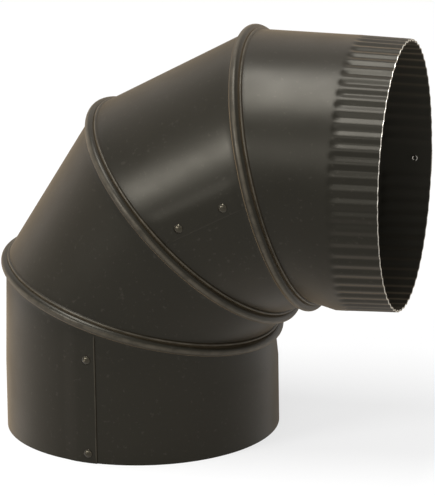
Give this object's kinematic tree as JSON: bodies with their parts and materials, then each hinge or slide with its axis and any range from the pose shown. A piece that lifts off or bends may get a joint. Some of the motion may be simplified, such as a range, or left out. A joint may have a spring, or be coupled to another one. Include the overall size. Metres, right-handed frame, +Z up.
{
  "type": "adjustable stove pipe elbow",
  "caption": "Black sheet-steel stove pipe elbow of round gores that swivel on rolled beads, with a plain socket end and a crimped spigot end.",
  "frame": {"origin": "centre of the plain end's rim", "axes": "+Z up the plain end's axis, +X the way the crimped end points, bend in the XZ plane"},
  "size_m": [0.2303, 0.1634, 0.2331],
  "materials": {
    "black_paint": "satin heat-resistant black paint on sheet steel",
    "rivet_paint": "satin black paint, chipped to bare steel on the heads"
  },
  "bodies": {
    "plain_end": {"plain_end_gore": "black_paint", "plain_end_rivets": "rivet_paint"},
    "lower": {"lower_gore": "black_paint", "lower_rivets": "rivet_paint"},
    "upper": {"upper_gore": "black_paint", "upper_rivets": "rivet_paint"},
    "crimped_end": {"crimped_end_gore": "black_paint", "crimped_end_rivets": "rivet_paint"}
  },
  "joints": [
    {"name": "lower_swivel", "type": "hinge", "parent": "plain_end", "child": "lower", "pos_m": [0.00091, 0, 0.07738], "axis": [0.2588, 0, 0.9659], "continuous": true},
    {"name": "middle_swivel", "type": "hinge", "parent": "lower", "child": "upper", "pos_m": [0.03147, 0, 0.1267], "axis": [0.7071, 0, 0.7071], "continuous": true},
    {"name": "upper_swivel", "type": "hinge", "parent": "upper", "child": "crimped_end", "pos_m": [0.08261, 0, 0.15414], "axis": [0.9659, 0, 0.2588], "continuous": true}
  ]
}
